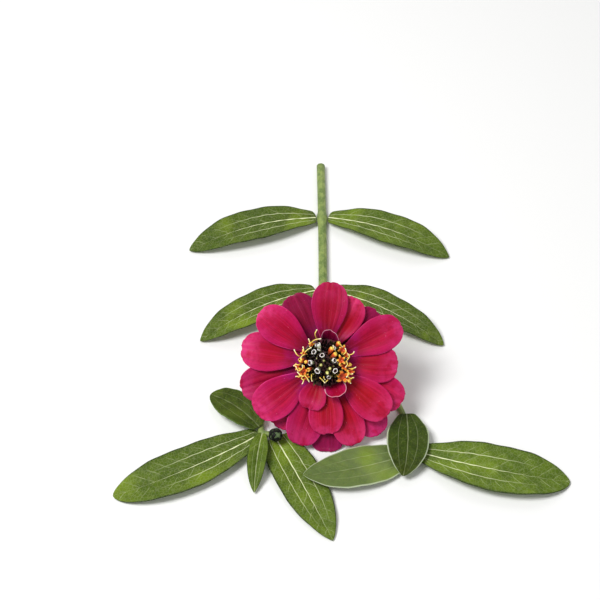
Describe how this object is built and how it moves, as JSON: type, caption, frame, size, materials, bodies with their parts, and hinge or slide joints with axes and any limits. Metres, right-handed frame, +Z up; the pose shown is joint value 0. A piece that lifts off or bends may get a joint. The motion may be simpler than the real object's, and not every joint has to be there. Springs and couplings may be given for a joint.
{
  "type": "zinnia flower",
  "caption": "Picked magenta zinnia lying on a surface: layered ray petals round a dark disc with orange florets, green cup, leafy stem with side shoots and a bud.",
  "frame": {"origin": "on the stem's flat resting strip, just behind the bend where the neck rises to the bloom", "axes": "+Z up from the surface it lies on, +Y along the lying stem towards its cut end, +X to the right as seen from the side that the bloom faces"},
  "size_m": [0.1582, 0.1774, 0.0409],
  "materials": {
    "petal_magenta": "velvety magenta petal with paler rims",
    "disc_dark": "dark brown and purple chaff",
    "floret_orange": "waxy orange and yellow",
    "bract_green": "smooth green with dark margins",
    "stem_green": "green, ribbed, with short hairs",
    "leaf_green": "matte green with cream veins",
    "bud_green": "green bracts with near-black edges"
  },
  "bodies": {
    "root": {"ray_petals": "petal_magenta", "disc": "disc_dark", "disc_florets": "floret_orange", "involucre": "bract_green", "stem": "stem_green", "bud": "bud_green", "leaf_shoot_left": "leaf_green", "leaf_shoot_front": "leaf_green", "leaf_shoot_young": "leaf_green", "leaf_shoot_back": "leaf_green", "leaf_right_under": "leaf_green", "leaf_right_outer": "leaf_green", "leaf_right_upper": "leaf_green", "leaf_middle_left": "leaf_green", "leaf_middle_right": "leaf_green", "leaf_lower_left": "leaf_green", "leaf_lower_right": "leaf_green"}
  },
  "joints": []
}
